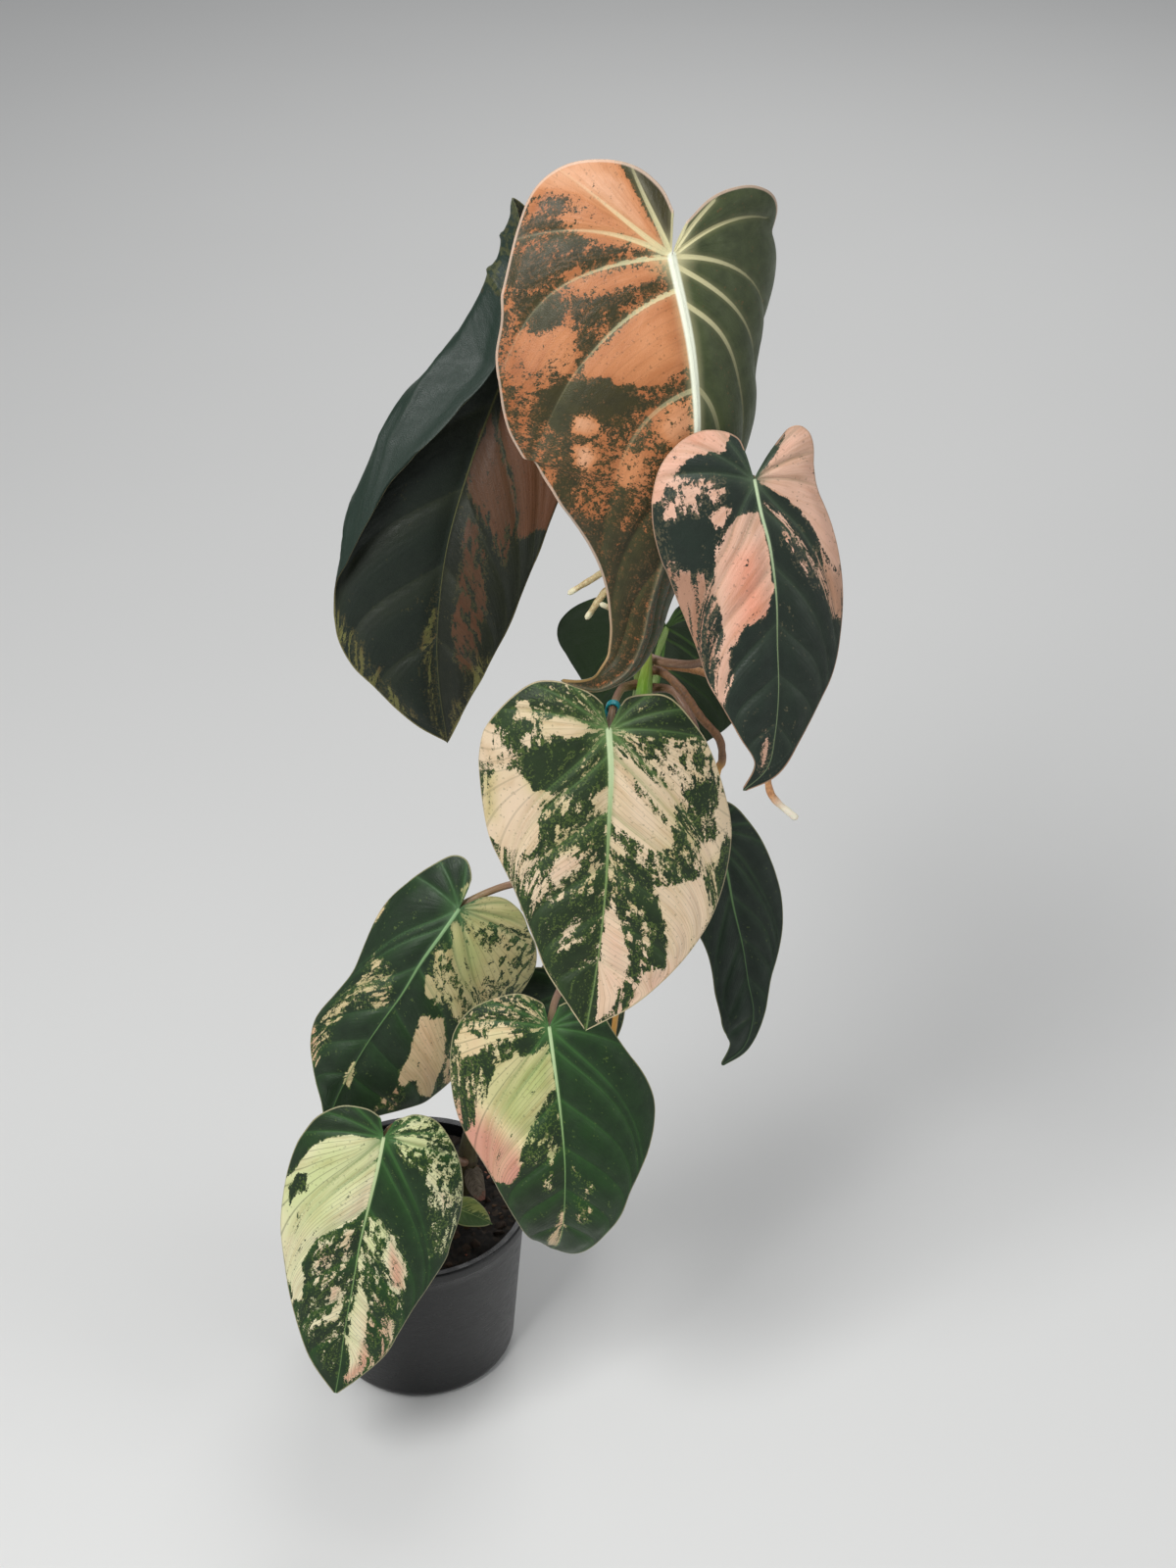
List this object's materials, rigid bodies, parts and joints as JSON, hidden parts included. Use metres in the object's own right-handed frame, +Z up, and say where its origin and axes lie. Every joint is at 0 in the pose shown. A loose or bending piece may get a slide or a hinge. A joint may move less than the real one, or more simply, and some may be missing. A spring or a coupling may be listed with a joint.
{
  "type": "potted philodendron melanochrysum",
  "caption": "Climbing variegated aroid in a round nursery pot: hanging heart-shaped leaves on a bare stem with aerial roots.",
  "frame": {"origin": "centre of the pot's flat base, on the surface it stands on", "axes": "+Z up through the pot; -Y towards the side the leaves face; +X the way the stem leans"},
  "size_m": [0.2561, 0.1607, 0.6623],
  "materials": {
    "pot": "satin",
    "potting_mix": "matte",
    "stem": "satin",
    "shoot_sheath": "satin",
    "dry_sheath": "matte",
    "leaf_small": "satin",
    "petiole": "satin",
    "petiole_pale": "satin",
    "root": "matte",
    "root_brown": "matte",
    "clip": "satin",
    "leaf_a": "satin",
    "leaf_b": "satin",
    "leaf_c": "satin",
    "leaf_d": "satin",
    "leaf_e": "satin",
    "leaf_f": "satin",
    "leaf_g": "satin",
    "leaf_h": "satin",
    "leaf_i": "satin",
    "leaf_j": "satin"
  },
  "bodies": {
    "root": {"pot": "pot", "potting_mix": "potting_mix", "stem": "stem", "shoot_sheath": "shoot_sheath", "dry_sheath": "dry_sheath", "leaf_a": "leaf_a", "leaf_b": "leaf_b", "leaf_c": "leaf_c", "leaf_d": "leaf_d", "leaf_e": "leaf_e", "leaf_f": "leaf_f", "leaf_g": "leaf_g", "leaf_h": "leaf_h", "leaf_i": "leaf_i", "leaf_j": "leaf_j", "leaf_small": "leaf_small", "petiole_a": "petiole", "petiole_b": "petiole", "petiole_c": "petiole", "petiole_d": "petiole", "petiole_e": "petiole", "petiole_f": "petiole", "petiole_g": "petiole", "petiole_h": "petiole", "petiole_i": "petiole_pale", "petiole_j": "petiole_pale", "petiole_small": "petiole_pale", "root_upper_long": "root", "root_upper_middle": "root", "root_upper_short": "root", "root_right": "root", "root_middle": "root", "root_long": "root_brown", "root_low": "root_brown", "clip": "clip"}
  },
  "joints": []
}
